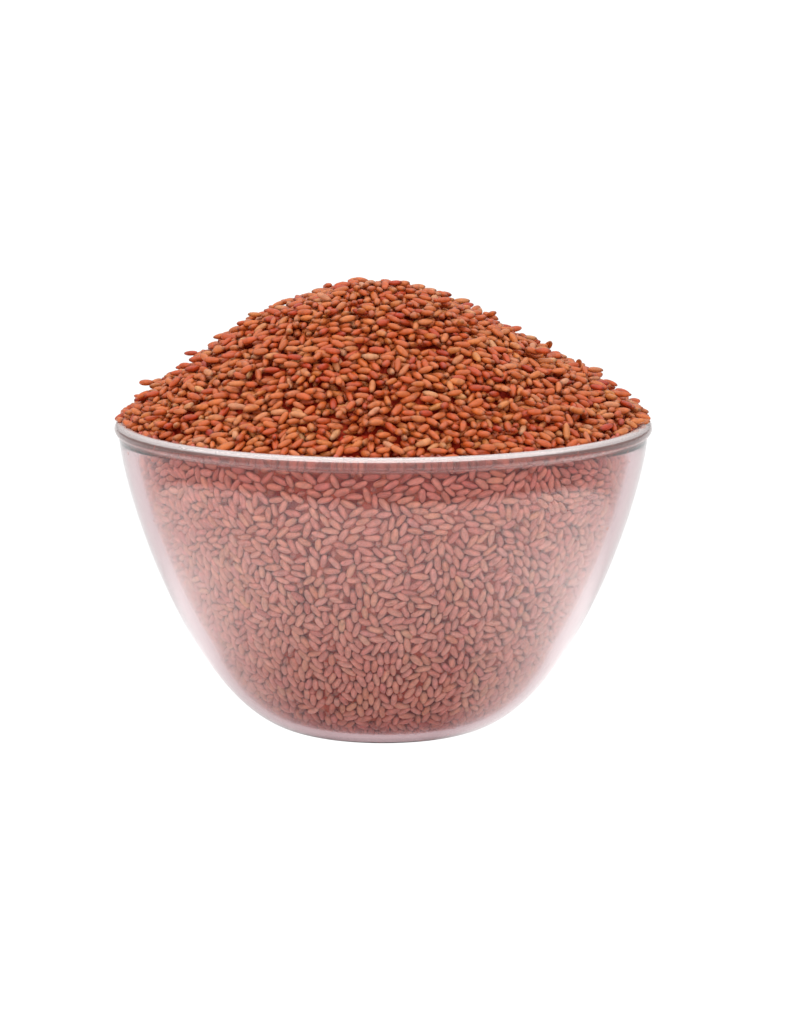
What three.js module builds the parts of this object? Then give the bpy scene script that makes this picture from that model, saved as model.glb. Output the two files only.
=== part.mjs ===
// A small clear glass bowl heaped with garden cress seeds.
//
// Millimetres, +Z up. The origin is the centre of the flat underside of the
// bowl, on the surface it stands on. The bowl is round about Z. Its wall is one
// piece of glass with a thin flat base, a wall that leans in towards the foot
// and a rounded lip that stands a little proud of the wall. The seeds fill the
// bowl and rise above the lip as an uneven cone with a blunt top. On the left,
// right and back they lie on the lip; at the front (-Y) they stop inside it.

import * as THREE from "three";

// ---- the bowl -------------------------------------------------------------
const RIM_RADIUS = 45.0; // outermost radius, on the lip
const RIM_HEIGHT = 52.2; // top of the lip above the table
const LIP_RADIUS = 1.2; // radius of the lip's rounded section
const FOOT_RADIUS = 15.0; // flat part of the underside
const WALL_RADIUS = 44.2; // outside of the wall just under the lip
const WALL_HEIGHT = 48.75; // height where the wall meets the lip
const BELLY_A = 1.288; // these two powers bend the wall's outside line
const BELLY_B = 0.548;
const WALL_THICKNESS = 2.4;
const BASE_THICKNESS = 1.8;
const THICK_BELOW = 16.0; // height over which the base thickens to the wall
const BOWL_SEGMENTS = 64;
const WALL_STEPS = 16;
const LIP_STEPS = 9;

// ---- the seeds ------------------------------------------------------------
const GAP = 0.3; // between the seeds and the glass
const PEAK_HEIGHT = 75.5; // top of the heap above the table
const PEAK_X = -3.3; // the top lies a little left of the middle
const PEAK_Y = 1.5; // and a little behind it
const PEAK_BLUNT = 0.907; // larger is a rounder top
const SLOPE_HOLLOW = -0.456; // below zero draws the lower slopes in
const EDGE_RADIUS = 44.2; // where the heap ends on the lip
const EDGE_RADIUS_FRONT = 42.8; // and at the front, inside the lip
const EDGE_RISE = 1.6; // height of the heap's edge above the lip
const EDGE_RISE_FRONT = 0.5;
const EDGE_RISE_RIGHT = 0.5; // more of it on the right
const UNEVEN = 0.4; // height of the heap's unevenness
const EDGE_UNEVEN = 0.25; // how far its edge wanders in and out
const HEAP_RINGS = 14;

const lipCentreR = RIM_RADIUS - LIP_RADIUS;
const lipCentreZ = RIM_HEIGHT - LIP_RADIUS;

const clamp = (v, lo, hi) => Math.min(hi, Math.max(lo, v));
const smooth = (lo, hi, v) => {
  const t = clamp((v - lo) / (hi - lo), 0, 1);
  return t * t * (3 - 2 * t);
};

// Outside radius of the wall at a height.
function wallRadius(z) {
  const t = clamp(z / WALL_HEIGHT, 0, 1);
  return (
    FOOT_RADIUS +
    (WALL_RADIUS - FOOT_RADIUS) * (1 - (1 - t) ** BELLY_A) ** BELLY_B
  );
}

// The outside of the wall from the foot (u = 0) to the lip (u = 1), as [r, z].
const wallOutside = (u) => {
  const z = WALL_HEIGHT * u ** 1.9;
  return [wallRadius(z), z];
};

// The inside of the wall, or a point `extra` millimetres further in, as [r, z].
function wallInside(u, extra = 0) {
  const du = 1e-3;
  const [r0, z0] = wallOutside(Math.max(0, u - du));
  const [r1, z1] = wallOutside(Math.min(1, u + du));
  const long = Math.hypot(r1 - r0, z1 - z0);
  const [r, z] = wallOutside(u);
  const depth =
    WALL_THICKNESS +
    (BASE_THICKNESS - WALL_THICKNESS) * (1 - smooth(0, THICK_BELOW, z)) +
    extra;
  return [r - ((z1 - z0) / long) * depth, z + ((r1 - r0) / long) * depth];
}

// A point on the lip's round section, at an angle from straight outwards.
const onLip = (angle, grow = 0) => [
  lipCentreR + (LIP_RADIUS + grow) * Math.cos(angle),
  lipCentreZ + (LIP_RADIUS + grow) * Math.sin(angle),
];

const deg = Math.PI / 180;

function bowlProfile() {
  const line = [[0, 0]];
  for (let i = 0; i <= WALL_STEPS; i++) line.push(wallOutside(i / WALL_STEPS));
  for (let i = 0; i <= LIP_STEPS; i++)
    line.push(onLip((-48 + (i / LIP_STEPS) * 236) * deg));
  for (let i = WALL_STEPS; i >= 0; i--) line.push(wallInside(i / WALL_STEPS));
  line.push([0, BASE_THICKNESS]);
  return line;
}

// ---- the heap's surface -----------------------------------------------------
const frontness = (angle) => smooth(0.0, 0.6, -Math.sin(angle));

const edgeRadius = (angle) =>
  EDGE_RADIUS -
  (EDGE_RADIUS - EDGE_RADIUS_FRONT) * frontness(angle) +
  EDGE_UNEVEN * Math.sin(7 * angle + 0.8) * Math.cos(4 * angle + 2.2);

const edgeHeight = (angle) =>
  RIM_HEIGHT +
  EDGE_RISE -
  (EDGE_RISE - EDGE_RISE_FRONT) * frontness(angle) +
  EDGE_RISE_RIGHT * Math.max(0, Math.cos(angle)) ** 2;

// Shallow dips and swells, fading out at the heap's edge.
function unevenness(x, y, t) {
  const a = Math.sin(0.21 * x + 0.7) * Math.cos(0.17 * y - 0.4);
  const b = Math.sin(0.33 * (x + y) + 2.1) * 0.6;
  const c = Math.cos(0.27 * (x - 1.3 * y) + 0.9) * 0.5;
  return UNEVEN * (a + b + c) * (1 - t ** 4);
}

// Height of the heap over a point given by its direction and its share t of the
// way from the top of the heap (0) to the edge (1).
function heapPoint(angle, t) {
  const edgeX = edgeRadius(angle) * Math.cos(angle);
  const edgeY = edgeRadius(angle) * Math.sin(angle);
  const x = PEAK_X + (edgeX - PEAK_X) * t;
  const y = PEAK_Y + (edgeY - PEAK_Y) * t;
  const c = PEAK_BLUNT;
  const fall =
    (Math.sqrt(1 + c * c) - Math.sqrt(t * t + c * c)) /
      (Math.sqrt(1 + c * c) - c) +
    SLOPE_HOLLOW * t * t * (1 - t);
  const low = edgeHeight(angle);
  return [x, y, low + (PEAK_HEIGHT - low) * fall + unevenness(x, y, t)];
}

// The seeds' skin, ring by ring from the middle of the floor to the top: each
// entry gives the point of that ring in one direction.
function seedRings() {
  const rings = [];
  const floor = BASE_THICKNESS + GAP;
  rings.push(() => [0, 0, floor]);
  rings.push((a) => {
    const r = wallInside(0, GAP)[0] * 0.55;
    return [r * Math.cos(a), r * Math.sin(a), floor];
  });
  for (let i = 1; i <= 9; i++) {
    const [r, z] = wallInside((i / 9) * 0.985, GAP);
    rings.push((a) => [r * Math.cos(a), r * Math.sin(a), z]);
  }
  for (let i = 0; i <= 4; i++)
    rings.push((a) => {
      // over the lip, from its inner side to where the heap ends on it
      const end = Math.acos(
        (edgeRadius(a) - lipCentreR) / (LIP_RADIUS + GAP),
      );
      const start = 172 * deg;
      const [r, z] = onLip(start + (end - start) * (i / 4), GAP);
      return [r * Math.cos(a), r * Math.sin(a), z];
    });
  for (let i = 0; i < HEAP_RINGS; i++)
    rings.push((a) => heapPoint(a, 1 - (i / HEAP_RINGS) ** 1.15));
  rings.push(() => heapPoint(0, 0));
  return rings;
}

// A closed skin: a lathe whose every vertex is then moved to its own place.
function seedGeometry() {
  const rings = seedRings();
  const line = rings.map((_, j) => {
    const inside = j > 0 && j < rings.length - 1;
    return new THREE.Vector2(inside ? 10 : 0, j);
  });
  const geometry = new THREE.LatheGeometry(line, BOWL_SEGMENTS);
  const position = geometry.getAttribute("position");
  for (let i = 0; i <= BOWL_SEGMENTS; i++) {
    // the last meridian closes on the first
    const angle = ((i % BOWL_SEGMENTS) / BOWL_SEGMENTS) * 2 * Math.PI;
    rings.forEach((ring, j) => {
      const [x, y, z] = ring(angle);
      position.setXYZ(i * rings.length + j, x, y, z);
    });
  }
  geometry.computeVertexNormals();
  return geometry;
}

// ---- the object --------------------------------------------------------------
const glass = new THREE.MeshStandardMaterial({
  color: new THREE.Color(0.93, 0.9, 0.93),
  roughness: 0.03,
  metalness: 0.0,
  transparent: true,
  opacity: 0.3,
});
const seedSkin = new THREE.MeshStandardMaterial({
  color: new THREE.Color(0.36, 0.085, 0.032),
  roughness: 0.5,
  metalness: 0.0,
});

const bowlGeometry = new THREE.LatheGeometry(
  bowlProfile().map(([r, z]) => new THREE.Vector2(r, z)),
  BOWL_SEGMENTS,
);
bowlGeometry.rotateX(Math.PI / 2);
const bowl = new THREE.Mesh(bowlGeometry, glass);
bowl.name = "glass_bowl";

const seeds = new THREE.Mesh(seedGeometry(), seedSkin);
seeds.name = "cress_seeds";

const group = new THREE.Group();
group.name = "bowl_of_cress_seeds";
group.add(bowl, seeds);

export default group;
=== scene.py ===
"""A small clear glass bowl heaped with garden cress seeds.

Sizes are worked out in millimetres and written to the meshes in metres. +Z is up,
the bowl is round about Z, and -Y is the side that the camera sees.
"""

import math
import bpy
import numpy as np
from mathutils import Matrix, Vector


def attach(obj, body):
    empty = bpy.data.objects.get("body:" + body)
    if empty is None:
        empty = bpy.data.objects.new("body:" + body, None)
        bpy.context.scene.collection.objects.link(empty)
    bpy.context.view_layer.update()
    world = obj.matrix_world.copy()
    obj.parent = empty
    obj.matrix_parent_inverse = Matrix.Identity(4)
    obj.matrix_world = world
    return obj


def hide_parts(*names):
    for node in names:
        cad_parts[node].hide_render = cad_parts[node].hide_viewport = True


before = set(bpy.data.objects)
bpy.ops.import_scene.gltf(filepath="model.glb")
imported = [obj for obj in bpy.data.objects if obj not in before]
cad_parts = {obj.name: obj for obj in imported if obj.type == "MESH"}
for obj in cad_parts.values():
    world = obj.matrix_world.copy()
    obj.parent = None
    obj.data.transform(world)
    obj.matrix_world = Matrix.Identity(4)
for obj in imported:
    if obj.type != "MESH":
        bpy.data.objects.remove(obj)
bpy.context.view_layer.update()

MM = 0.001

# ---- the bowl, as in the CAD model ---------------------------------------------
RIM_RADIUS = 45.0
RIM_HEIGHT = 52.2
LIP_RADIUS = 1.2
FOOT_RADIUS = 15.0
WALL_RADIUS = 44.2
WALL_HEIGHT = 48.75
BELLY_A = 1.288
BELLY_B = 0.548
WALL_THICKNESS = 2.4
BASE_THICKNESS = 1.8
THICK_BELOW = 16.0
LIP_R = RIM_RADIUS - LIP_RADIUS
LIP_Z = RIM_HEIGHT - LIP_RADIUS

# ---- the heap, as in the CAD model ---------------------------------------------
PEAK_HEIGHT = 75.5
PEAK_X = -3.3
PEAK_Y = 1.5
PEAK_BLUNT = 0.907
SLOPE_HOLLOW = -0.456
EDGE_RADIUS = 44.2
EDGE_RADIUS_FRONT = 42.8
EDGE_RISE = 1.6
EDGE_RISE_FRONT = 0.5
EDGE_RISE_RIGHT = 0.5
UNEVEN = 0.4

# ---- one seed --------------------------------------------------------------------
SEED_LONG = 2.72  # length, width and thickness
SEED_WIDE = 1.19
SEED_THICK = 1.00
SEED_VARY = 0.075  # how much one seed differs from the next
PRESS = 0.03  # how far the seeds reach into the glass
CORE_BEHIND = 1.20  # how far behind the glass the core's skin lies, before its relief
WALL_COVER = 0.97  # seeds' share of the wall, as their outlines lie flat on it
HEAP_DEEP = 3.4  # depth of the loose seeds on the heap
HEAP_PROUD = -0.17  # how far a seed may stand out of the heap's outside
LOOSE_SHARE = 0.0015  # share of seeds that stick up
DOWN_TRIES = 2  # of eight tries at each spot, how many point down the slope
DOWN_SHARE = 0.3  # share of seeds that must point down the slope
SINK = 0.10  # how far a seed settles into those under it
HEAP_MISSES = 2600  # tries without a place before the heap is full
SEEN_SHARE = 0.04  # a seed less in sight than this is part of the core

# ---- the camera -------------------------------------------------------------------
CAM_DISTANCE = 600.0
CAM_ELEVATION = 9.72
CAM_TARGET_X = 3.2
CAM_TARGET_Z = 35.26
CAM_FOCAL = 3560.7  # pixels of a picture 805 wide and 1035 high
PICTURE = (805, 1035)


def smooth(low, high, v):
    t = np.clip((v - low) / (high - low), 0, 1)
    return t * t * (3 - 2 * t)


def unit(v):
    return v / np.maximum(np.linalg.norm(v, axis=-1, keepdims=True), 1e-12)


# =====================================================================================
# Camera
# =====================================================================================
camera_data = bpy.data.cameras.new("camera")
camera_data.sensor_width = 36.0
camera_data.lens = CAM_FOCAL / PICTURE[1] * 36.0
camera_data.clip_start = 0.01
camera_data.clip_end = 20.0
camera = bpy.data.objects.new("camera", camera_data)
bpy.context.scene.collection.objects.link(camera)
_e = math.radians(CAM_ELEVATION)
camera.location = (
    CAM_TARGET_X * MM,
    -CAM_DISTANCE * math.cos(_e) * MM,
    (CAM_TARGET_Z + CAM_DISTANCE * math.sin(_e)) * MM,
)
camera.rotation_euler = (math.pi / 2 - _e, 0.0, 0.0)
bpy.context.scene.camera = camera


# =====================================================================================
# The bowl's shape
# =====================================================================================
def wall_outside(u):
    u = np.asarray(u, float)
    z = WALL_HEIGHT * u**1.9
    t = np.clip(z / WALL_HEIGHT, 0, 1)
    r = FOOT_RADIUS + (WALL_RADIUS - FOOT_RADIUS) * (1 - (1 - t) ** BELLY_A) ** BELLY_B
    return np.stack([r, z], -1)


def wall_inside(u):
    u = np.asarray(u, float)
    a, b = wall_outside(np.maximum(0, u - 1e-3)), wall_outside(np.minimum(1, u + 1e-3))
    t = unit(b - a)
    p = wall_outside(u)
    thinning = 1 - smooth(0, THICK_BELOW, p[..., 1])
    depth = WALL_THICKNESS + (BASE_THICKNESS - WALL_THICKNESS) * thinning
    return np.stack([p[..., 0] - t[..., 1] * depth, p[..., 1] + t[..., 0] * depth], -1)


def on_lip(degrees):
    a = np.radians(degrees)
    return np.stack([LIP_R + LIP_RADIUS * np.cos(a), LIP_Z + LIP_RADIUS * np.sin(a)], -1)


def bend(p0, t0, p1, t1, steps):
    """A smooth line from p0 to p1 that leaves along t0 and arrives along t1, without its ends."""
    t = (np.arange(1, steps) / steps)[:, None]
    h = 2 * t**3 - 3 * t**2
    return (
        (h + 1) * p0
        + (t**3 - 2 * t**2 + t) * t0
        - h * p1
        + (t**3 - t**2) * t1
    )


def lip_tangent(degrees, length):
    a = math.radians(degrees)
    return np.array([-math.sin(a), math.cos(a)]) * length


LIP_FROM, LIP_TO = -36.0, 165.0
_way_out = unit(wall_outside(1.0) - wall_outside(0.985))
_top_out = wall_outside(1.0) + _way_out * 1.3  # the wall goes straight up to the lip
_top_in = wall_inside(1.0)
_way_in = unit(_top_in - wall_inside(0.985))


def glass_profile(wall_steps, lip_steps):
    u = np.linspace(0, 1, wall_steps + 1)
    lip = on_lip(np.linspace(LIP_FROM, LIP_TO, lip_steps + 1))
    foot = np.stack([np.linspace(0, FOOT_RADIUS, 9)[:-1], np.zeros(8)], -1)
    inside = wall_inside(u)[::-1]
    floor = np.stack([inside[-1, 0] * np.linspace(1, 0, 7)[1:], np.full(6, BASE_THICKNESS)], -1)
    return np.concatenate(
        [
            foot,
            wall_outside(u),
            bend(wall_outside(1.0), _way_out, _top_out, _way_out, 3),
            _top_out[None],
            bend(_top_out, _way_out * 0.4, lip[0], lip_tangent(LIP_FROM, 0.4), 5),
            lip,
            bend(lip[-1], lip_tangent(LIP_TO, 2.0), _top_in, -_way_in * 2.0, 7),
            inside,
            floor,
        ]
    )


def lathe(name, profile, segments):
    """A closed skin turned about Z. The profile starts and ends on the axis."""
    inner = profile[1:-1]
    angle = np.arange(segments) / segments * 2 * math.pi
    ring = np.stack([np.cos(angle), np.sin(angle)], -1)
    verts = np.empty((len(inner), segments, 3))
    verts[:, :, :2] = inner[:, None, :1] * ring[None]
    verts[:, :, 2] = inner[:, 1, None]
    verts = np.concatenate([verts.reshape(-1, 3), [[0, 0, profile[0, 1]], [0, 0, profile[-1, 1]]]])
    j, i = np.meshgrid(np.arange(len(inner) - 1), np.arange(segments), indexing="ij")
    k = (i + 1) % segments
    quads = np.stack(
        [j * segments + i, j * segments + k, (j + 1) * segments + k, (j + 1) * segments + i], -1
    ).reshape(-1, 4)
    i = np.arange(segments)
    k = (i + 1) % segments
    low = np.stack([np.full(segments, len(verts) - 2), k, i], -1)
    base = (len(inner) - 1) * segments
    high = np.stack([np.full(segments, len(verts) - 1), base + i, base + k], -1)
    return make_mesh(name, verts, quads, np.concatenate([low, high]))


def make_mesh(name, verts, quads, tris):
    """A mesh object from arrays, in millimetres, with smooth faces: quads first, then triangles."""
    me = bpy.data.meshes.new(name)
    me.vertices.add(len(verts))
    me.vertices.foreach_set("co", (np.asarray(verts) * MM).astype(np.float32).ravel())
    loops = np.concatenate([np.asarray(quads).ravel(), np.asarray(tris).ravel()]).astype(np.int32)
    me.loops.add(len(loops))
    me.loops.foreach_set("vertex_index", loops)
    count = np.concatenate([np.full(len(quads), 4), np.full(len(tris), 3)]).astype(np.int32)
    me.polygons.add(len(count))
    me.polygons.foreach_set("loop_start", (np.cumsum(count) - count).astype(np.int32))
    me.polygons.foreach_set("use_smooth", np.ones(len(count), bool))
    me.update(calc_edges=True)
    me.validate()
    ob = bpy.data.objects.new(name, me)
    bpy.context.scene.collection.objects.link(ob)
    return ob


def add_values(me, name, values):
    me.attributes.new(name, "FLOAT", "POINT").data.foreach_set(
        "value", np.asarray(values, np.float32).ravel()
    )


bowl = lathe("clear_glass_bowl", glass_profile(60, 26), 192)

# The inside of the glass, from the middle of the floor to the lip's inner side, as a
# function of the angle seen from a point on the axis. FROM_DOWN is 0 straight down.
EYE_Z = 26.0
_line = np.concatenate(
    [
        np.stack([np.linspace(0, wall_inside(0.0)[0], 40)[:-1], np.full(39, BASE_THICKNESS)], -1),
        wall_inside(np.linspace(0, 1, 400)),
        bend(_top_in, _way_in * 2.0, on_lip(LIP_TO), -lip_tangent(LIP_TO, 2.0), 12),
        on_lip(np.linspace(LIP_TO, 145, 8)),
    ]
)
_way = unit(np.gradient(_line, axis=0))
_normal = np.stack([-_way[:, 1], _way[:, 0]], -1)  # into the bowl


class Inside:
    """The inside of the glass moved inwards by a distance, by the angle from straight down."""

    def __init__(self, inwards):
        line = _line + _normal * inwards
        keep = line[:, 0] >= -1e-9
        line = line[keep]
        self.angle = np.arctan2(line[:, 0], EYE_Z - line[:, 1])
        order = np.argsort(self.angle, kind="stable")
        self.angle = self.angle[order]
        self.line = line[order]
        self.far = np.hypot(self.line[:, 0], self.line[:, 1] - EYE_Z)
        self.normal = _normal[keep][order]
        self.length = np.concatenate(
            [[0], np.cumsum(np.linalg.norm(np.diff(self.line, axis=0), axis=1))]
        )

    def at(self, angle):
        """[r, z] and the normal into the bowl there."""
        far = np.interp(angle, self.angle, self.far)
        n = np.stack([np.interp(angle, self.angle, self.normal[:, k]) for k in (0, 1)], -1)
        p = np.stack([far * np.sin(angle), EYE_Z - far * np.cos(angle)], -1)
        return p, unit(n)

    def angle_of(self, p):
        return np.arctan2(np.hypot(p[:, 0], p[:, 1]), EYE_Z - p[:, 2])

    def settle(self, p, top):
        """Each point moved onto this surface, and the normal there, in three dimensions."""
        angle = np.minimum(self.angle_of(p), top)
        flat, n = self.at(angle)
        round_about = unit(p[:, :2] + 1e-12)
        where = np.concatenate([round_about * flat[:, :1], flat[:, 1:]], 1)
        normal = np.concatenate([round_about * n[:, :1], n[:, 1:]], 1)
        return where, normal


# =====================================================================================
# Seeds against the glass: packed flat on the wall by letting them push apart
# =====================================================================================
rng = np.random.default_rng(7352)


def seed_sizes(count):
    """Half of each seed's length, width and thickness. Long seeds are a little wider too."""
    whole = rng.normal(0, SEED_VARY, (count, 1))
    own = rng.normal(0, SEED_VARY * 0.75, (count, 3))
    scale = np.exp(np.clip(whole * [0.7, 0.5, 0.4] + own * [0.9, 0.9, 1.0], -0.22, 0.2))
    return 0.5 * np.array([SEED_LONG, SEED_WIDE, SEED_THICK]) * scale


def close_pairs(x, reach):
    """Every pair of points nearer to each other than reach."""
    cell = np.floor(x / reach).astype(np.int64)
    cell -= cell.min(0) - 1
    size = cell.max(0) + 2
    key = (cell[:, 0] * size[1] + cell[:, 1]) * size[2] + cell[:, 2]
    order = np.argsort(key, kind="stable")
    held, start, count = np.unique(key[order], return_index=True, return_counts=True)
    found = []
    steps = [(a, b, c) for a in (-1, 0, 1) for b in (-1, 0, 1) for c in (-1, 0, 1)]
    for step in (s for s in steps if s >= (0, 0, 0)):
        other = key + (step[0] * size[1] + step[1]) * size[2] + step[2]
        at = np.minimum(np.searchsorted(held, other), len(held) - 1)
        mine = np.nonzero(held[at] == other)[0]
        many = count[at[mine]]
        first = np.repeat(mine, many)
        run = np.arange(many.sum()) - np.repeat(np.cumsum(many) - many, many)
        second = order[run + np.repeat(start[at[mine]], many)]
        near = ((x[first] - x[second]) ** 2).sum(1) < reach * reach
        if step == (0, 0, 0):
            near &= first < second
        found.append(np.stack([first[near], second[near]]))
    return np.concatenate(found, 1)


def push_apart(where, way, half, surface, top, rounds, lying, reach=1.75):
    """Seeds as rows of five discs, moved and turned on a surface until few overlap."""
    shares = np.array([-1.0, -0.5, 0.0, 0.5, 1.0])
    long, wide = half[:, 0], half[:, 1]
    end = 0.66 * wide
    offset = shares[None] * (long - end)[:, None] * lying[:, None]
    radius = wide[:, None] * np.array([0.66, 0.9, 1.0, 0.9, 0.66])[None]
    radius = np.where(lying[:, None] > 0, radius, wide[:, None])
    radius, offset = radius.ravel(), offset
    owner = np.repeat(np.arange(len(where)), 5)
    flat_offset = offset.ravel()
    pairs = None
    for turn in range(rounds):
        x = (where[:, None] + offset[:, :, None] * way[:, None]).reshape(-1, 3)
        if turn % 8 == 0:
            pairs = close_pairs(x, reach)
            pairs = pairs[:, owner[pairs[0]] != owner[pairs[1]]]
            pair_reach = radius[pairs[0]] + radius[pairs[1]]
        d = x[pairs[1]] - x[pairs[0]]
        far = np.sqrt((d * d).sum(1)) + 1e-9
        over = pair_reach - far
        hit = over > 0
        i, j = pairs[0][hit], pairs[1][hit]
        push = d[hit] * (0.5 * over[hit] / far[hit])[:, None]
        both = np.concatenate([i, j])
        moves = np.concatenate([-push, push])
        who = owner[both]
        arm = flat_offset[both]
        n = len(where)
        hits = np.bincount(who, minlength=n)
        arms = np.bincount(who, arm * arm, minlength=n)
        shift = np.stack([np.bincount(who, m, minlength=n) for m in moves.T], 1)
        twist = np.stack([np.bincount(who, m * arm, minlength=n) for m in moves.T], 1)
        strength = 1.5 if turn < rounds * 0.7 else 1.1
        where = where + strength * shift / np.maximum(hits, 1)[:, None]
        way = way + strength * twist / (arms + 0.8)[:, None]
        where, normal = surface.settle(where, top)
        way = unit(way - (way * normal).sum(1, keepdims=True) * normal)
    return where, way, normal, float(over[hit].mean()) if hit.any() else 0.0


def frames(way, up):
    """Rotation matrices whose columns are the seeds' length, width and thickness."""
    side = unit(np.cross(up, way))
    return np.stack([way, side, np.cross(way, side)], -1)


def wall_seeds():
    surface = Inside(0.54)
    top = surface.angle_of(np.array([[41.5, 0.0, 50.3]]))[0]
    inside = surface.angle <= top
    length, radius = surface.length[inside], surface.line[inside, 0]
    area = np.concatenate([[0], np.cumsum(np.diff(length) * (radius[1:] + radius[:-1]) / 2)])
    area *= 2 * math.pi
    cover = WALL_COVER
    count = int(cover * area[-1] / (math.pi * SEED_LONG * SEED_WIDE / 4))
    half = seed_sizes(count)
    angle = np.interp(rng.random(count) * area[-1], area, surface.angle[inside])
    about = rng.random(count) * 2 * math.pi
    flat, n = surface.at(angle)
    ring = np.stack([np.cos(about), np.sin(about)], -1)
    where = np.concatenate([ring * flat[:, :1], flat[:, 1:]], 1)
    normal = np.concatenate([ring * n[:, :1], n[:, 1:]], 1)
    round_way = np.stack([-ring[:, 1], ring[:, 0], np.zeros(count)], -1)
    up_way = np.cross(round_way, normal)
    # spread them evenly first, each as one wide disc
    even = np.full((count, 3), math.sqrt(area[-1] / count / math.pi) * 0.98)
    none = np.zeros(count)
    where, _, normal, _ = push_apart(where, round_way, even, surface, top, 60, none, 2.2)
    round_way = unit(np.stack([-where[:, 1], where[:, 0], np.zeros(count)], -1))
    up_way = np.cross(round_way, normal)
    # more of them lie level near the lip, and more point down towards the foot
    z = where[:, 2]
    level = rng.random(count) < np.interp(z, [18, 30, 44], [0.12, 0.42, 0.75])
    lean = rng.normal(0, 0.5, count) + np.where(level, 0.0, math.pi / 2)
    way = np.cos(lean)[:, None] * round_way + np.sin(lean)[:, None] * up_way
    lying = (rng.random(count) > 0.07).astype(float)
    where, way, _, left = push_apart(where, way, half, surface, top, 240, lying)
    print("WALL", count, "area", round(float(area[-1])), "overlap", round(left, 3), flush=True)
    # onto the glass itself
    glass = Inside(0.0)
    touch, normal = glass.settle(where, 3.2)
    tilt = rng.normal(0, 0.085, count)
    stand = lying < 0.5
    lean = np.where(stand, rng.normal(0, 0.3, count), 0.0)
    axis = np.where(
        stand[:, None],
        np.cos(lean)[:, None] * normal + np.sin(lean)[:, None] * way,
        np.cos(tilt)[:, None] * way + np.sin(tilt)[:, None] * normal,
    )
    flip = rng.random(count) < 0.5
    axis[flip] *= -1
    roll = rng.normal(0, 0.42, count)
    side = unit(np.cross(normal, way))
    up = np.where(stand[:, None], side, np.cos(roll)[:, None] * normal + np.sin(roll)[:, None] * side)
    turn = frames(unit(axis), up)
    reach = np.sqrt((((turn * normal[:, :, None]).sum(1) * half) ** 2).sum(1))
    back = np.abs(rng.normal(0, 0.05, count))
    centre = touch + normal * (reach - PRESS + back)[:, None]
    return centre, turn, half, stand


# =====================================================================================
# The heap: seeds dropped one by one onto what already lies there
# =====================================================================================
STANDING = (16.0, 3.0)  # where one seed stands on end
CELL = 0.12  # of the height map, in millimetres
SPAN = 47.4
SIDE = int(round(2 * SPAN / CELL)) + 1
_axis = np.linspace(-SPAN, SPAN, SIDE)
GX, GY = np.meshgrid(_axis, _axis)  # rows go along Y


def frontness(angle):
    return smooth(0.0, 0.6, -np.sin(angle))


def edge_radius(angle):
    wander = 0.25 * np.sin(7 * angle + 0.8) * np.cos(4 * angle + 2.2)
    return EDGE_RADIUS - (EDGE_RADIUS - EDGE_RADIUS_FRONT) * frontness(angle) + wander


def edge_height(angle):
    return (
        RIM_HEIGHT
        + EDGE_RISE
        - (EDGE_RISE - EDGE_RISE_FRONT) * frontness(angle)
        + EDGE_RISE_RIGHT * np.maximum(0, np.cos(angle)) ** 2
    )


def heap_height(x, y):
    """Height of the heap's outside, and its share of the way from the top to the edge."""
    angle = np.arctan2(y, x)
    for _ in range(3):  # the edge that lies the same way from the top as the point does
        edge = edge_radius(angle)
        ux, uy = x - PEAK_X, y - PEAK_Y
        a = ux * ux + uy * uy + 1e-9
        b = PEAK_X * ux + PEAK_Y * uy
        c = PEAK_X**2 + PEAK_Y**2 - edge**2
        k = (-b + np.sqrt(np.maximum(b * b - a * c, 0))) / a
        angle = np.arctan2(PEAK_Y + uy * k, PEAK_X + ux * k)
    t = 1 / k
    c = PEAK_BLUNT
    s = np.clip(t, 0, 1)
    fall = (math.sqrt(1 + c * c) - np.sqrt(s * s + c * c)) / (math.sqrt(1 + c * c) - c)
    fall += SLOPE_HOLLOW * s * s * (1 - s)
    wave = np.sin(0.21 * x + 0.7) * np.cos(0.17 * y - 0.4)
    wave += np.sin(0.33 * (x + y) + 2.1) * 0.6
    wave += np.cos(0.27 * (x - 1.3 * y) + 0.9) * 0.5
    low = edge_height(angle)
    return low + (PEAK_HEIGHT - low) * fall + UNEVEN * wave * (1 - s**4), t


def spread_of(turn, half):
    """How far each ellipsoid reaches along X, Y and Z."""
    return np.sqrt(((turn * half[..., None, :]) ** 2).sum(-1))


def stamp(x, y, turn, half, step=1):
    """Windows of the map under ellipsoids at x, y: flat places in the map, whether the seed
    is over them, and its underside and top there, measured from its centre."""
    reach = int(1.78 / CELL) + 1
    cells = np.arange(-reach, reach + 1, step)
    i0 = np.rint((x + SPAN) / CELL).astype(int)
    j0 = np.rint((y + SPAN) / CELL).astype(int)
    i = np.clip(i0[:, None] + cells, 0, SIDE - 1)
    j = np.clip(j0[:, None] + cells, 0, SIDE - 1)
    dx = ((i0[:, None] + cells) * CELL - SPAN - x[:, None])[:, None, :]
    dy = ((j0[:, None] + cells) * CELL - SPAN - y[:, None])[:, :, None]
    shape = np.einsum("nij,nj,nkj->nik", turn, 1 / half**2, turn)[:, :, :, None, None]
    q = shape[:, 0, 2] * dx + shape[:, 1, 2] * dy
    p = shape[:, 0, 0] * dx * dx + (2 * shape[:, 0, 1] * dx + shape[:, 1, 1] * dy) * dy - 1
    root = q * q - shape[:, 2, 2] * p
    on = root > 0
    root = np.sqrt(np.where(on, root, 0))
    under = np.where(on, -(q + root) / shape[:, 2, 2], 99.0)
    over = np.where(on, (root - q) / shape[:, 2, 2], -99.0)
    return j[:, :, None] * SIDE + i[:, None, :], on, under, over


def height_at(map_, x, y):
    i = np.clip(((x + SPAN) / CELL + 0.5).astype(int), 0, SIDE - 1)
    j = np.clip(((y + SPAN) / CELL + 0.5).astype(int), 0, SIDE - 1)
    return map_[j, i]


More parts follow.
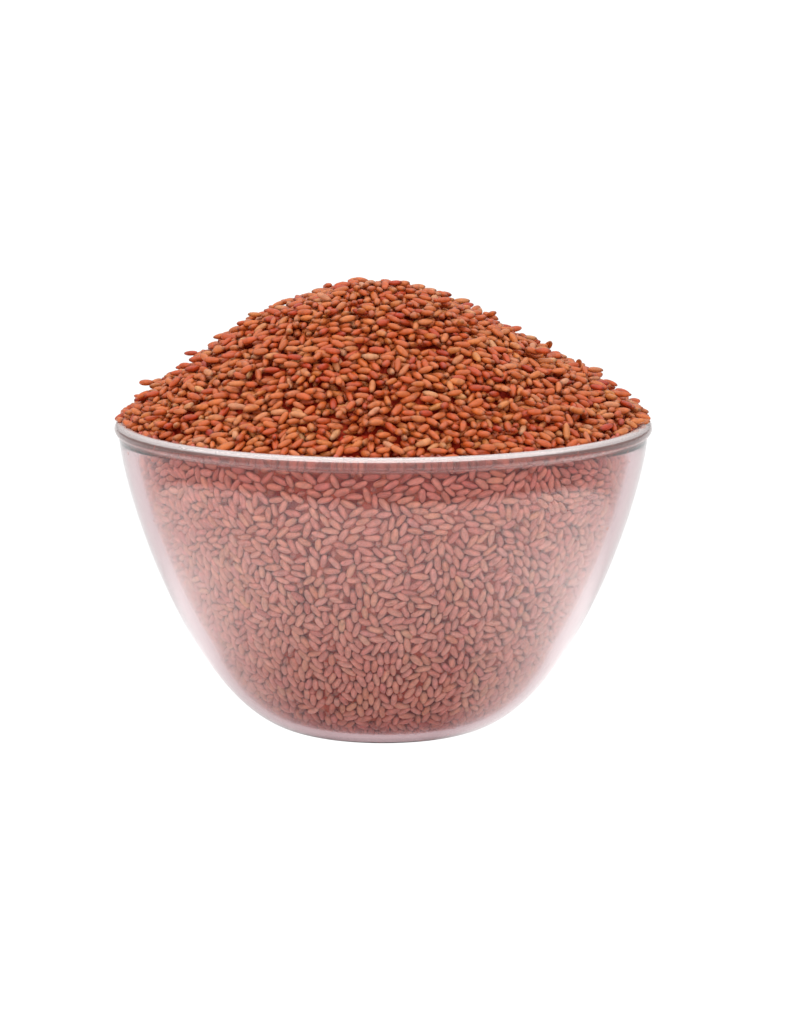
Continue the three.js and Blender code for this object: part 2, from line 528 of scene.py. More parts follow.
def heap_seeds(wall):
    target, share = heap_height(GX, GY)
    rho = np.hypot(GX, GY)
    lip = LIP_Z + np.sqrt(np.maximum(LIP_RADIUS**2 - (rho - LIP_R) ** 2, 0))
    ground = np.where(rho < LIP_R - LIP_RADIUS, target - HEAP_DEEP, np.maximum(target - HEAP_DEEP, lip))
    ground = np.where(rho > RIM_RADIUS, -200.0, ground)
    ground = np.where(share > 1, np.where(rho < LIP_R, np.minimum(ground, lip), ground), ground)
    ground = np.where((rho < LIP_R - LIP_RADIUS + 0.05) & (share > 0.97), 49.5, ground)
    top = ground.copy()
    owner = np.full(top.size, -1, np.int32)
    centre, turn, half, _ = wall
    near = np.nonzero(centre[:, 2] > 47.0)[0]
    flat = top.ravel()
    for s in near:
        at, on, _, over = stamp(centre[s : s + 1, 0], centre[s : s + 1, 1], turn[s : s + 1], half[s : s + 1])
        flat[at[on]] = np.maximum(flat[at[on]], over[on] + centre[s, 2])
    gy, gx = np.gradient(target, CELL)
    aim, gx, gy = target.ravel(), gx.ravel(), gy.ravel()
    allowed = np.nonzero(((share < 0.992) & (rho < 44.0)).ravel())[0]
    spots, yaws = 5, 8
    kept, misses, most = [], 0, 9000
    sizes = seed_sizes(most)
    while len(kept) < most and misses < HEAP_MISSES:
        k = len(kept)
        size = np.broadcast_to(sizes[k], (spots * yaws, 3))
        pick = allowed[rng.integers(len(allowed), size=28)]
        pick = pick[np.argsort(flat[pick] - aim[pick])[:spots]].repeat(yaws)
        jitter = rng.normal(0, 0.35, (2, spots * yaws))
        x, y = GX.ravel()[pick] + jitter[0], GY.ravel()[pick] + jitter[1]
        sx, sy = gx[pick], gy[pick]
        # half of the tries point more or less down the slope
        yaw = np.where(
            np.arange(spots * yaws) % yaws < DOWN_TRIES,
            np.arctan2(sy, sx) + rng.normal(0, 0.5, spots * yaws),
            rng.random(spots * yaws) * math.pi,
        )
        if rng.random() < DOWN_SHARE:
            yaw = np.arctan2(sy, sx) + rng.normal(0, 0.45, spots * yaws)
        cx, cy = np.cos(yaw), np.sin(yaw)
        # it leans so that both ends rest on what is under them
        arm = 0.62 * sizes[k, 0]
        slope = np.arctan(sx * cx + sy * cy)
        ends = height_at(top, x + cx * arm, y + cy * arm) - height_at(top, x - cx * arm, y - cy * arm)
        rise = slope + np.clip(np.arctan2(ends, 2 * arm) - slope, -0.55, 0.55)
        loose = rng.random() < LOOSE_SHARE
        if loose:
            rise = slope + rng.normal(0, 0.7, spots * yaws)
        way = np.stack([cx * np.cos(rise), cy * np.cos(rise), np.sin(rise)], -1)
        side = unit(np.cross(np.stack([-sx, -sy, np.ones_like(sx)], -1), way))
        roll = rng.normal(0, 0.35, spots * yaws)[:, None]
        side = np.cos(roll) * side + np.sin(roll) * np.cross(way, side)
        lie = np.stack([way, side, np.cross(way, side)], -1)
        at, on, under, over = stamp(x, y, lie, size, 2)
        rest = (flat[at] - under).max((1, 2))
        score = rest + over.max((1, 2)) - height_at(target, x, y)
        score[np.hypot(x, y) > 44.15] = 99
        best = int(np.argmin(score))
        proud = HEAP_PROUD - 0.2 * math.exp(-((y[best] - PEAK_Y) / 4) ** 2) - 0.45 * smooth(0.8, 1.0, float(height_at(share, x[best : best + 1], y[best : best + 1])[0]))
        if aim[pick[best]] - flat[pick[best]] > 0.95:
            proud += 0.2
        if score[best] > (proud + 0.1 if loose else proud):
            misses += 1
            continue
        one = slice(best, best + 1)
        at, on, under, over = stamp(x[one], y[one], lie[one], size[one])
        rest = float((flat[at] - under).max()) - SINK
        at, on, under, over = at[0], on[0], under[0] + rest, over[0] + rest
        higher = on & (over > flat[at])
        flat[at[higher]] = over[higher]
        owner[at[higher]] = k
        kept.append((x[best], y[best], rest, lie[best], sizes[k], at[on], under[on], over[on]))
    # one seed stands on end on the skyline
    size = np.array([[1.30, 0.58, 0.50]])
    rise = 1.05
    way = np.array([math.cos(rise) * 0.35, -math.cos(rise) * 0.94, math.sin(rise)])
    side = unit(np.cross([0.0, 0.0, 1.0], way))
    lie = np.stack([way, side, np.cross(way, side)], -1)[None]
    x, y = np.array([STANDING[0]]), np.array([STANDING[1]])
    at, on, under, over = (v[0] for v in stamp(x, y, lie, size))
    rest = float((flat[at] - under).max()) - 1.1
    under, over = under + rest, over + rest
    higher = on & (over > flat[at])
    flat[at[higher]] = over[higher]
    owner[at[higher]] = len(kept)
    kept.append((x[0], y[0], rest, lie[0], size[0], at[on], under[on], over[on]))
    count = len(kept)
    seen = np.bincount(owner[owner >= 0], minlength=count)
    drawn = np.array([len(p[5]) for p in kept])
    centre = np.array([p[:3] for p in kept])
    turn = np.stack([p[3] for p in kept])
    half = np.stack([p[4] for p in kept])
    shown = (seen > SEEN_SHARE * drawn) | (np.hypot(centre[:, 0], centre[:, 1]) > 39.8)
    # what lies under the seeds that show: the relief of the core, never above their undersides
    relief = ground.copy()
    low, bare = relief.ravel(), np.full(top.size, 300.0)
    whose = np.full(top.size, -1, np.int32)
    for k, p in enumerate(kept):
        at, under, over = p[5:]
        if shown[k]:
            bare[at] = np.minimum(bare[at], under)
        else:
            whose[at] = np.where(over > low[at], k, whose[at])
            low[at] = np.maximum(low[at], over)
    relief = np.minimum(relief, bare.reshape(relief.shape) - 0.04)
    whose = whose.reshape(relief.shape)
    print("HEAP", count, "shown", int(shown.sum()), flush=True)
    return centre[shown], turn[shown], half[shown], relief, whose


# =====================================================================================
# Seeds as meshes
# =====================================================================================
def seed_template(rings, around):
    """One seed with half sizes of 1: blunt at +X, drawn to a point at -X, with a shallow furrow."""
    x = -np.cos(np.arange(1, rings + 1) / (rings + 1) * math.pi)
    r = (1 - x) ** 0.43 * (1 + x) ** 0.52
    r /= r.max()
    a = (np.arange(around) + 0.5) / around * 2 * math.pi
    furrow = np.exp(-((np.angle(np.exp(1j * (a - a[0]))) / 0.5) ** 2))
    deep = 0.13 * smooth(-0.95, -0.5, x) * (1 - smooth(-0.1, 0.75, x))
    rr = r[:, None] * (1 - deep[:, None] * furrow[None])
    verts = np.stack(
        [np.broadcast_to(x[:, None], rr.shape), rr * np.cos(a)[None], rr * np.sin(a)[None]], -1
    ).reshape(-1, 3)
    verts = np.concatenate([verts, [[-1.0, 0, 0], [1.0, 0, 0]]])
    along = np.concatenate([np.repeat(x, around), [-1.0, 1.0]])
    j, i = np.meshgrid(np.arange(rings - 1), np.arange(around), indexing="ij")
    k = (i + 1) % around
    quads = np.stack([j * around + i, (j + 1) * around + i, (j + 1) * around + k, j * around + k], -1)
    quads = quads.reshape(-1, 4)[:, ::-1]
    i = np.arange(around)
    k = (i + 1) % around
    tail = np.stack([np.full(around, rings * around), k, i], -1)
    base = (rings - 1) * around
    head = np.stack([np.full(around, rings * around + 1), base + i, base + k], -1)
    # where each face corner lies on the seed's own square of the map
    ring_v = (np.arange(rings) + 1) / (rings + 1)
    jq, iq = np.meshgrid(np.arange(rings - 1), np.arange(around), indexing="ij")
    jq, iq = jq.ravel(), iq.ravel()
    quv = np.stack(
        [
            np.stack([iq / around, ring_v[jq]], -1),
            np.stack([iq / around, ring_v[jq + 1]], -1),
            np.stack([(iq + 1) / around, ring_v[jq + 1]], -1),
            np.stack([(iq + 1) / around, ring_v[jq]], -1),
        ],
        1,
    )[:, ::-1]
    i = np.arange(around)
    one = np.ones(around)
    tuv = np.stack(
        [
            np.stack([(i + 0.5) / around, 0 * one], -1),
            np.stack([(i + 1) / around, one * ring_v[0]], -1),
            np.stack([i / around, one * ring_v[0]], -1),
        ],
        1,
    )
    huv = np.stack(
        [
            np.stack([(i + 0.5) / around, one], -1),
            np.stack([i / around, one * ring_v[-1]], -1),
            np.stack([(i + 1) / around, one * ring_v[-1]], -1),
        ],
        1,
    )
    return verts, along, quads, np.concatenate([tail, head]), quv, np.concatenate([tuv, huv])


def seed_mesh(name, centre, turn, half, tone, hue, rings, around):
    verts, along, quads, tris, quv, tuv = seed_template(rings, around)
    n, nv = len(centre), len(verts)
    curve = rng.normal(0, 0.05, n)  # some are a little bent
    belly = rng.normal(0, 0.05, n)  # and some fuller towards one end
    local = np.broadcast_to(verts, (n, nv, 3)).copy()
    x = local[:, :, 0]
    full = 1 + belly[:, None] * x
    local[:, :, 1] *= full
    local[:, :, 2] *= full
    local[:, :, 1] += curve[:, None] * (x * x - 0.35)
    local = local * half[:, None, :]
    world = np.einsum("nij,nvj->nvi", turn, local) + centre[:, None, :]
    first = (np.arange(n) * nv)[:, None, None]
    ob = make_mesh(
        name,
        world.reshape(-1, 3),
        (quads[None] + first).reshape(-1, 4),
        (tris[None] + first).reshape(-1, 3),
    )
    me = ob.data
    add_values(me, "tone", np.repeat(tone, nv))
    add_values(me, "hue", np.repeat(hue, nv))
    add_values(me, "along", np.tile(along, n))
    # each seed has its own square on the map
    side = int(math.ceil(math.sqrt(n)))
    square = np.stack([np.arange(n) % side, np.arange(n) // side], -1)
    q = (square[:, None, None] + 0.06 + 0.88 * quv[None]) / side
    t = (square[:, None, None] + 0.06 + 0.88 * tuv[None]) / side
    uv = np.concatenate([q.reshape(-1, 2), t.reshape(-1, 2)])
    layer = me.uv_layers.new(name="OFBake")
    layer.uv.foreach_set("vector", uv.astype(np.float32).ravel())
    return ob


# =====================================================================================
# The core: what shows between the loose seeds, one closed skin with relief, coloured darker and redder as painted
# shade
# =====================================================================================
def seed_core(relief, whose):
    around, wall_rings, heap_rings = 372, 98, 78
    angle = np.arange(around) / around * 2 * math.pi
    ring = np.stack([np.cos(angle), np.sin(angle)], -1)
    skin = Inside(CORE_BEHIND)
    top = skin.angle_of(np.array([[40.3, 0.0, 49.6]]))[0]
    top_length = np.interp(top, skin.angle, skin.length)
    steps = np.interp(np.linspace(0, top_length, wall_rings + 1)[1:], skin.length, skin.angle)
    flat, n = skin.at(steps)
    # seeds of the layer behind, as bumps on the skin
    bump = np.zeros((wall_rings, around))
    # painted shade: the skin between the bumps gets the darkest tone, the bumps lighter ones
    tone = np.full((wall_rings, around), 0.05)
    radius = flat[:, 0]
    ring_step = top_length / wall_rings
    area = 2 * math.pi * radius.sum() * ring_step
    count = int(area / 1.9)
    pick = np.searchsorted(np.cumsum(radius) / radius.sum(), rng.random(count))
    size = seed_sizes(count)
    for j, about, lean, half, deep in zip(
        pick, rng.random(count) * around, rng.random(count) * math.pi, size, rng.random(count)
    ):
        step = 2 * math.pi * radius[j] / around
        wide = min(int(1.6 / step) + 1, around // 2 - 1)
        tall = int(1.6 / ring_step) + 1
        j0, j1 = max(j - tall, 0), min(j + tall + 1, wall_rings)
        columns = np.arange(int(about) - wide, int(about) + wide + 1)
        dy = ((np.arange(j0, j1) - j) * ring_step)[:, None]
        dx = (columns - about) * step
        a = (dx * math.cos(lean) + dy * math.sin(lean)) / half[0]
        b = (-dx * math.sin(lean) + dy * math.cos(lean)) / half[1]
        rise = np.sqrt(np.maximum(1 - a * a - b * b, 0)) * (0.45 + 0.25 * deep)
        cols = columns % around
        block = bump[j0:j1, cols]
        own = tone[j0:j1, cols]
        tone[j0:j1, cols] = np.where(rise > block, 0.45 + 0.5 * abs(lean / math.pi * 7 % 1), own)
        bump[j0:j1, cols] = np.maximum(block, rise)
    wall = np.empty((wall_rings, around, 3))
    at_r = flat[:, None, 0] - n[:, None, 0] * bump
    wall[:, :, :2] = at_r[:, :, None] * ring[None]
    wall[:, :, 2] = flat[:, None, 1] - n[:, None, 1] * bump
    # the heap's part, read from the relief
    r = 40.0 * np.linspace(1, 0, heap_rings + 1)[:-1]
    heap = np.empty((heap_rings, around, 3))
    heap[:, :, :2] = r[:, None, None] * ring[None]
    low = relief.copy()
    for _ in range(2):  # a little lower than the seeds lie, and rounder
        low[1:-1, 1:-1] = np.minimum(
            low[1:-1, 1:-1],
            np.minimum(
                np.minimum(low[:-2, 1:-1], low[2:, 1:-1]),
                np.minimum(low[1:-1, :-2], low[1:-1, 2:]),
            ),
        )
    heap[:, :, 2] = height_at(low, heap[:, :, 0], heap[:, :, 1])
    heap[0, :, 2] = np.maximum(heap[0, :, 2], wall[-1, :, 2] + 0.1)
    verts = np.concatenate([wall.reshape(-1, 3), heap.reshape(-1, 3)])
    rings = wall_rings + heap_rings
    verts = np.concatenate(
        [verts, [[0, 0, BASE_THICKNESS + 1.6], [0, 0, float(height_at(low, np.zeros(1), np.zeros(1))[0])]]]
    )
    j, i = np.meshgrid(np.arange(rings - 1), np.arange(around), indexing="ij")
    k = (i + 1) % around
    quads = np.stack(
        [j * around + i, j * around + k, (j + 1) * around + k, (j + 1) * around + i], -1
    ).reshape(-1, 4)
    i = np.arange(around)
    k = (i + 1) % around
    low_fan = np.stack([np.full(around, len(verts) - 2), k, i], -1)
    base = (rings - 1) * around
    high_fan = np.stack([np.full(around, len(verts) - 1), base + i, base + k], -1)
    ob = make_mesh("seed_core", verts, quads, np.concatenate([low_fan, high_fan]))
    # painted shade: where no buried seed lies the heap's core is darkest, under buried seeds a little lighter
    seed_no = height_at(whose, heap[:, :, 0], heap[:, :, 1])
    heap_tone = np.where(seed_no < 0, 0.0, 0.15 + 0.3 * ((seed_no * 0.618) % 1))
    add_values(ob.data, "tone", np.concatenate([tone.ravel(), heap_tone.ravel(), [0.1, 0.1]]))
    return ob


# =====================================================================================
# Materials
# =====================================================================================
def nodes_of(name):
    mat = bpy.data.materials.new(name)
    mat.use_nodes = True
    nt = mat.node_tree
    nt.nodes.clear()
    out = nt.nodes.new("ShaderNodeOutputMaterial")
    shader = nt.nodes.new("ShaderNodeBsdfPrincipled")
    nt.links.new(shader.outputs[0], out.inputs["Surface"])
    return mat, nt, shader


def ramp(nt, source, stops):
    node = nt.nodes.new("ShaderNodeValToRGB")
    node.color_ramp.interpolation = "LINEAR"
    elements = node.color_ramp.elements
    while len(elements) < len(stops):
        elements.new(0.5)
    for element, (at, colour) in zip(elements, stops):
        element.position = at
        element.color = (*colour, 1.0)
    nt.links.new(source, node.inputs[0])
    return node.outputs[0]


def attribute(nt, name):
    node = nt.nodes.new("ShaderNodeAttribute")
    node.attribute_name = name
    return node.outputs["Fac"]


def maths(nt, operation, a, b=None, c=None):
    node = nt.nodes.new("ShaderNodeMath")
    node.operation = operation
    for i, v in enumerate((a, b, c)):
        if v is None:
            continue
        if isinstance(v, (int, float)):
            node.inputs[i].default_value = v
        else:
            nt.links.new(v, node.inputs[i])
    return node.outputs[0]


def in_range(nt, value, low, high, to_low, to_high):
    node = nt.nodes.new("ShaderNodeMapRange")
    nt.links.new(value, node.inputs["Value"])
    for key, v in zip(("From Min", "From Max", "To Min", "To Max"), (low, high, to_low, to_high)):
        node.inputs[key].default_value = v
    return node.outputs[0]


def noise(nt, scale, detail=2.0):
    where = nt.nodes.new("ShaderNodeTexCoord")
    node = nt.nodes.new("ShaderNodeTexNoise")
    node.inputs["Scale"].default_value = scale
    node.inputs["Detail"].default_value = detail
    nt.links.new(where.outputs["Object"], node.inputs["Vector"])
    return node.outputs["Fac"]


def mixed(nt, factor, a, b, kind="MIX"):
    node = nt.nodes.new("ShaderNodeMix")
    node.data_type = "RGBA"
    node.blend_type = kind
    for v, key in ((factor, 0), (a, 6), (b, 7)):
        if isinstance(v, tuple):
            node.inputs[key].default_value = (*v, 1.0)
        elif isinstance(v, (int, float)):
            node.inputs[key].default_value = v
        else:
            nt.links.new(v, node.inputs[key])
    return node.outputs[2]


GLASS_ROUGH = 0.06
GLASS_SHEEN = 0.03
PAINTED_LIP_HIGHLIGHT = 0.24  # painted highlight: share of the lip's upper side made milky white, standing in for the bright reflection band along the lip
PAINTED_LIP_HIGHLIGHT_FROM, PAINTED_LIP_HIGHLIGHT_TO = 23.0, 150.0
PAINTED_SHADE_UNDER_LIP_FROM = 49.5  # painted shade: height from which the glass under the lip is made dull and dark mauve, standing in for the dark band under the lip
SEED_TONES = [
    (0.00, (0.300, 0.018, 0.004)),
    (0.10, (0.410, 0.038, 0.007)),
    (0.30, (0.485, 0.073, 0.013)),
    (0.62, (0.525, 0.126, 0.029)),
    (0.86, (0.542, 0.180, 0.059)),
    (1.00, (0.560, 0.242, 0.118)),
]
CORE_SHADE_TONES = [  # painted shade: the core between the seeds is coloured darker and redder than the seeds, standing in for the shade and red bounced light in the gaps
    (0.00, (0.410, 0.022, 0.006)),
    (0.40, (0.460, 0.042, 0.013)),
    (0.75, (0.480, 0.080, 0.030)),
    (1.00, (0.500, 0.118, 0.048)),
]
WALL_TONES_PAINTED_SHEEN = [  # the seeds that lie against the lilac glass are made paler and pinker, a painted sheen standing in for the whitish sheen and glass veil over them
    (0.00, (0.420, 0.070, 0.040)),
    (0.30, (0.608, 0.174, 0.114)),
    (0.62, (0.710, 0.270, 0.190)),
    (1.00, (0.758, 0.358, 0.270)),
]


def seed_material(name, tones, gloss):
    mat, nt, shader = nodes_of(name)
    colour = ramp(nt, attribute(nt, "tone"), tones)
    # a redder, wine-dark cast on some seeds and a yellower one on others
    cast = ramp(
        nt,
        attribute(nt, "hue"),
        [(0.0, (0.95, 0.78, 0.90)), (0.5, (1.0, 1.0, 1.0)), (1.0, (1.02, 1.16, 0.88))],
    )
    colour = mixed(nt, 1.0, colour, cast, "MULTIPLY")
    # mottling along the coat, finer and coarser
    coarse = in_range(nt, noise(nt, 1100.0, 2.0), 0.3, 0.7, 0.80, 1.18)
    fine = in_range(nt, noise(nt, 5200.0, 2.0), 0.3, 0.7, 0.93, 1.07)
    shade = maths(nt, "MULTIPLY", coarse, fine)
    # the pointed end with the scar is darker
    tip = in_range(nt, attribute(nt, "along"), -1.0, -0.62, 0.42, 1.0)
    shade = maths(nt, "MULTIPLY", shade, tip)
    grey = nt.nodes.new("ShaderNodeCombineColor")
    for i in range(3):
        nt.links.new(shade, grey.inputs[i])
    colour = mixed(nt, 1.0, colour, grey.outputs[0], "MULTIPLY")
    nt.links.new(colour, shader.inputs["Base Color"])
    nt.links.new(in_range(nt, noise(nt, 2400.0, 2.0), 0.3, 0.7, 0.32, 0.46), shader.inputs["Roughness"])
    shader.inputs["Specular IOR Level"].default_value = gloss
    bump = nt.nodes.new("ShaderNodeBump")
    bump.inputs["Strength"].default_value = 0.22
    bump.inputs["Distance"].default_value = 0.00004
    nt.links.new(noise(nt, 4200.0, 3.0), bump.inputs["Height"])
    nt.links.new(bump.outputs[0], shader.inputs["Normal"])
    return mat


def core_material():
    mat, nt, shader = nodes_of("cress_seed_shade")
    colour = ramp(nt, attribute(nt, "tone"), CORE_SHADE_TONES)
    coarse = in_range(nt, noise(nt, 900.0, 2.0), 0.3, 0.7, 0.75, 1.0)
    grey = nt.nodes.new("ShaderNodeCombineColor")
    for i in range(3):
        nt.links.new(coarse, grey.inputs[i])
    colour = mixed(nt, 1.0, colour, grey.outputs[0], "MULTIPLY")
    nt.links.new(colour, shader.inputs["Base Color"])
    nt.links.new(in_range(nt, noise(nt, 2400.0, 2.0), 0.3, 0.7, 0.45, 0.6), shader.inputs["Roughness"])
    shader.inputs["Specular IOR Level"].default_value = 0.15
    return mat


def glass_material(name, colour, milk, roughness):
    mat, nt, shader = nodes_of(name)
    shader.inputs["Base Color"].default_value = (*colour, 1.0)
    shader.inputs["Transmission Weight"].default_value = 1.0 - milk
    shader.inputs["IOR"].default_value = 1.5
    shader.inputs["Roughness"].default_value = roughness
    shader.inputs["Sheen Weight"].default_value = GLASS_SHEEN
    shader.inputs["Sheen Roughness"].default_value = 0.6
    return mat


# =====================================================================================
# Making the pieces
# =====================================================================================
wall = wall_seeds()
heap_centre, heap_turn, heap_half, relief, whose = heap_seeds(wall)
core = seed_core(relief, whose)

heap_coat = seed_material("cress_seed_coat", SEED_TONES, 0.5)
# the coat of the seeds at the glass carries the painted sheen of the paler, pinker tones
wall_coat_painted_sheen = seed_material("cress_seed_coat_at_glass_painted_sheen", WALL_TONES_PAINTED_SHEEN, 0.5)
core.data.materials.append(core_material())
bowl.data.materials.append(glass_material("clear_glass", (0.975, 0.955, 0.985), 0.0, GLASS_ROUGH))
# the lip's upper side: milky white glass as a painted highlight
bowl.data.materials.append(glass_material("clear_glass_lip_painted_highlight", (0.97, 0.92, 0.92), PAINTED_LIP_HIGHLIGHT, 0.12))
# under the lip: dull, dark mauve glass as painted shade
bowl.data.materials.append(glass_material("clear_glass_under_lip_painted_shade", (0.68, 0.42, 0.39), 0.16, 0.15))
# faces on the lip's upper side get the painted highlight, the glass under the lip the painted shade
for face in bowl.data.polygons:
    x, y, z = np.asarray(face.center) / MM
    round_lip = math.hypot(math.hypot(x, y) - LIP_R, z - LIP_Z) < LIP_RADIUS * 1.02
    turned = math.degrees(math.atan2(z - LIP_Z, math.hypot(x, y) - LIP_R))
    if round_lip and PAINTED_LIP_HIGHLIGHT_FROM < turned < PAINTED_LIP_HIGHLIGHT_TO:
        face.material_index = 1
    elif z > PAINTED_SHADE_UNDER_LIP_FROM and math.hypot(x, y) > LIP_R and turned < PAINTED_LIP_HIGHLIGHT_TO:
        face.material_index = 2


def seed_tones(count, height):
    if height is not None:  # behind the glass they look more alike; darker near the lip, under its overhang, and near the foot, all painted shade
        tone = rng.normal(0.62, 0.10, count) - 0.09 * smooth(30.0, 42.0, height)
        tone -= 0.17 * smooth(44.2, 45.6, height)
        tone -= 0.2 * smooth(47.3, 49.3, height) + 0.5 * smooth(10.5, 4.0, height)
        return np.clip(tone, 0, 1), np.clip(rng.normal(0.5, 0.16, count), 0, 1)
    tone = np.clip(rng.normal(0.54, 0.17, count), 0, 1)
    odd = rng.random(count)
    tone = np.where(odd < 0.03, 0.06 + rng.random(count) * 0.14, tone)  # dark ones
    tone = np.where(odd > 0.97, 0.9 + rng.random(count) * 0.1, tone)  # pale ones
    return tone, np.clip(rng.normal(0.5, 0.19, count), 0, 1)


pieces = [core, bowl]


def add_seeds(name, centre, turn, half, rings, around, coat, at_glass):
    tris = 2 * around * rings
    parts = int(math.ceil(len(centre) * tris / 190000))
    tone, hue = seed_tones(len(centre), centre[:, 2] if at_glass else None)
    order = rng.permutation(len(centre))
    for k in range(parts):
        pick = order[k::parts]
        ob = seed_mesh(
            f"{name}_{k + 1}", centre[pick], turn[pick], half[pick], tone[pick], hue[pick], rings, around
        )
        ob.data.materials.append(coat)
        pieces.append(ob)


add_seeds("heap_seeds", heap_centre, heap_turn, heap_half, 6, 8, heap_coat, False)
add_seeds("wall_seeds", wall[0], wall[1], wall[2], 5, 7, wall_coat_painted_sheen, True)

for ob in pieces:
    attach(ob, "root")
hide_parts("cress_seeds")
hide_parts("glass_bowl")
print("TRIS", sum(sum(len(p.vertices) - 2 for p in o.data.polygons) for o in pieces), flush=True)


# =====================================================================================
# Stage, light and view
# =====================================================================================
# floor brightness as the outside of the glass mirrors it, by distance in metres
FLOOR_MIRROR = [(0.0, 0.05), (0.023, 0.05), (0.028, 0.10), (0.037, 0.4), (0.051, 1.3), (0.071, 2.15), (0.12, 2.25)]
FLAG_WIDE, FLAG_LONG = 0.138, 0.1105  # beyond this oval the floor is grey in the glass
FLAG = 0.55
RIGHT = 0.5  # the floor on the right is brighter by this
BESIDE = 0.6  # and by this on both sides, less further out
BEHIND = 1.15  # behind the bowl it is this bright
BEHIND_FROM, BEHIND_TO = -0.01, 0.06
FLOOR_LIGHT = (1.12, 1.12, 1.12)  # light that it throws on the seeds
THROUGH = (0.68, 0.49, 0.50)  # what shows through clear glass
SKY_LIGHT = 0.61
SKY_LOBES = [  # direction, where it starts and is full as cosines, colour
    ((-0.1, -0.72, 0.70), 0.35, 0.98, (1.30, 1.30, 1.30)),
    ((0.0, 0.0, 1.0), 0.60, 0.95, (0.24, 0.24, 0.24)),
    ((0.0, -1.0, 0.1), 0.30, 0.95, (0.30, 0.30, 0.30)),
]
SKY_MIRROR = [(0.0, 0.4), (0.35, 0.7), (0.60, 1.4), (1.0, 1.6)]  # by height of the direction
AREA_LIGHTS = []
GLASS_LIGHTS = [  # name, place, aim, size, radiance
    ("above", (0, -150, 1500), (0, 0, 50), (3600, 2200), 3.5),
]


def plane(name, low, high, z, segments=1):
    (x0, y0), (x1, y1) = low, high
    me = bpy.data.meshes.new(name)
    me.from_pydata(
        [(x0 * MM, y0 * MM, z * MM), (x1 * MM, y0 * MM, z * MM), (x1 * MM, y1 * MM, z * MM), (x0 * MM, y1 * MM, z * MM)],
        [],
        [(0, 1, 2, 3)],
    )
    ob = bpy.data.objects.new(name, me)
    bpy.context.scene.collection.objects.link(ob)
    return ob


def light_paths(nt, on_seeds, mirrored, through, plain):
    """A brightness or colour that depends on what looks at it: light on the seeds, what the
    outside of the glass mirrors, what shows through clear glass, and the plain background."""
    path = nt.nodes.new("ShaderNodeLightPath")
    lit = maths(nt, "GREATER_THAN", path.outputs["Diffuse Depth"], 0.5)
    value = mixed(nt, path.outputs["Is Reflection Ray"], through, mirrored)
    value = mixed(nt, lit, value, on_seeds)
    return mixed(nt, path.outputs["Is Camera Ray"], value, plain)


def grey(v):
    return (v, v, v)


def glow_of(nt, kind, colour):
    out = nt.nodes.new("ShaderNodeOutputWorld" if kind == "world" else "ShaderNodeOutputMaterial")
    glow = nt.nodes.new("ShaderNodeBackground" if kind == "world" else "ShaderNodeEmission")
    nt.links.new(colour, glow.inputs["Color"])
    nt.links.new(glow.outputs[0], out.inputs["Surface"])


def stops_by(nt, value, stops, scale):
    """Grey levels by a value, from a list of (value, level), as a ramp."""
    low, high = stops[0][0], stops[-1][0]
    node = ramp(
        nt,
        in_range(nt, value, low, high, 0.0, 1.0),
        [((v - low) / (high - low), grey(level / scale)) for v, level in stops],
    )
    return mixed(nt, 1.0, node, grey(scale), "MULTIPLY")


floor = plane("floor", (-3000, -3000), (3000, 3000), -0.02)
floor_mat = bpy.data.materials.new("white_floor")
floor_mat.use_nodes = True
nt = floor_mat.node_tree
nt.nodes.clear()
geometry = nt.nodes.new("ShaderNodeNewGeometry")
split = nt.nodes.new("ShaderNodeSeparateXYZ")
nt.links.new(geometry.outputs["Position"], split.inputs[0])
squares = [maths(nt, "MULTIPLY", split.outputs[i], split.outputs[i]) for i in (0, 1)]
away = maths(nt, "SQRT", maths(nt, "ADD", *squares))
# the glass mirrors the floor: dark under the bowl, bright beside it, then grey further out
mirrored = stops_by(nt, away, FLOOR_MIRROR, 4.0)
behind = in_range(nt, split.outputs[1], BEHIND_FROM, BEHIND_TO, 0.0, 1.0)
wide = maths(nt, "DIVIDE", maths(nt, "ADD", split.outputs[0], 0.004), FLAG_WIDE)
long = maths(nt, "DIVIDE", split.outputs[1], FLAG_LONG)
oval = maths(nt, "ADD", maths(nt, "MULTIPLY", wide, wide), maths(nt, "MULTIPLY", long, long))
far = in_range(nt, oval, 0.93, 1.08, 0.0, 1.0)
aside = maths(nt, "DIVIDE", split.outputs[0], away)
right = in_range(nt, aside, 0.45, 0.8, 0.0, RIGHT)
beside = maths(
    nt,
    "MULTIPLY",
    in_range(nt, maths(nt, "ABSOLUTE", aside), 0.5, 0.95, 0.0, BESIDE),
    in_range(nt, away, 0.07, 0.1, 1.0, 0.2),
)
mirrored = mixed(nt, 1.0, mirrored, right, "ADD")
mirrored = mixed(nt, 1.0, mirrored, beside, "ADD")
mirrored = mixed(nt, far, mirrored, grey(FLAG))
mirrored = mixed(nt, behind, mirrored, grey(BEHIND))
glow_of(nt, "material", light_paths(nt, FLOOR_LIGHT, mirrored, THROUGH, grey(1.1)))
floor.data.materials.append(floor_mat)


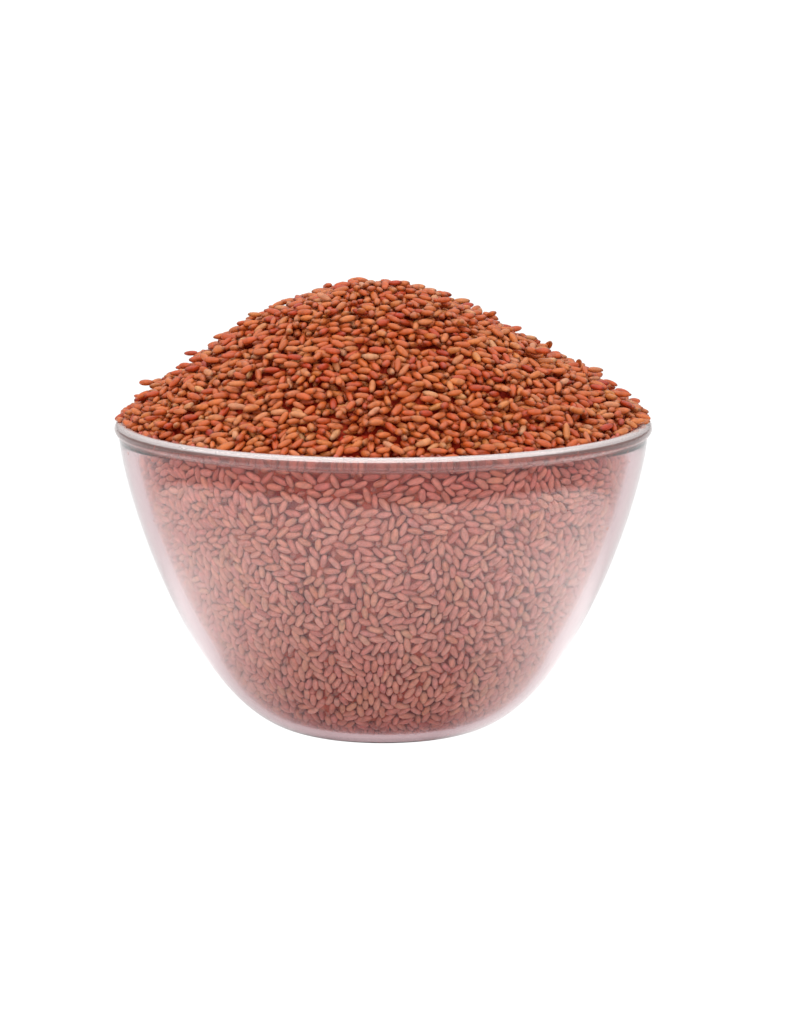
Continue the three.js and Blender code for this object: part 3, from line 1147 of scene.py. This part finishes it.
def area_light(name, where, aim, size, radiance, colour=(1, 1, 1), only=None):
    """A soft light in millimetres. With `only`, nothing but that object sees it."""
    power = radiance * math.pi * size[0] * size[1] * MM * MM
    data = bpy.data.lights.new(name, "AREA")
    data.shape = "RECTANGLE"
    data.size, data.size_y = size[0] * MM, size[1] * MM
    data.energy = power
    data.color = colour
    ob = bpy.data.objects.new(name, data)
    ob.location = Vector(where) * MM
    ob.rotation_euler = (Vector(aim) - Vector(where)).to_track_quat("-Z", "Y").to_euler()
    bpy.context.scene.collection.objects.link(ob)
    ob.visible_camera = False
    if only is not None:
        seen_by = bpy.data.collections.new(name + " lights")
        seen_by.objects.link(only)
        ob.light_linking.receiver_collection = seen_by
    return ob


for light in AREA_LIGHTS:
    area_light(*light)
for light in GLASS_LIGHTS:
    area_light(*light, (1.0, 0.88, 0.85), bowl)

world = bpy.data.worlds.new("studio")
bpy.context.scene.world = world
world.use_nodes = True
nt = world.node_tree
nt.nodes.clear()
where = nt.nodes.new("ShaderNodeTexCoord")
split = nt.nodes.new("ShaderNodeSeparateXYZ")
nt.links.new(where.outputs["Generated"], split.inputs[0])
up = split.outputs[2]


def lobe(nt, direction, low, high):
    """1 towards a direction, fading to 0: low and high are cosines of the angle from it."""
    node = nt.nodes.new("ShaderNodeVectorMath")
    node.operation = "DOT_PRODUCT"
    nt.links.new(where.outputs["Generated"], node.inputs[0])
    node.inputs[1].default_value = Vector(direction).normalized()
    value = nt.nodes.new("ShaderNodeMapRange")
    value.interpolation_type = "SMOOTHSTEP"
    nt.links.new(node.outputs["Value"], value.inputs["Value"])
    value.inputs["From Min"].default_value = low
    value.inputs["From Max"].default_value = high
    return value.outputs[0]


sky_light = grey(SKY_LIGHT)
for direction, low_cos, high_cos, colour in SKY_LOBES:
    add = mixed(nt, lobe(nt, direction, low_cos, high_cos), grey(0.0), colour)
    sky_light = mixed(nt, 1.0, sky_light, add, "ADD")
sky_mirror = stops_by(nt, up, SKY_MIRROR, 20.0)
glow_of(nt, "world", light_paths(nt, sky_light, sky_mirror, THROUGH, grey(1.1)))

bpy.context.scene.view_settings.view_transform = "Standard"
bpy.context.scene.view_settings.look = "None"
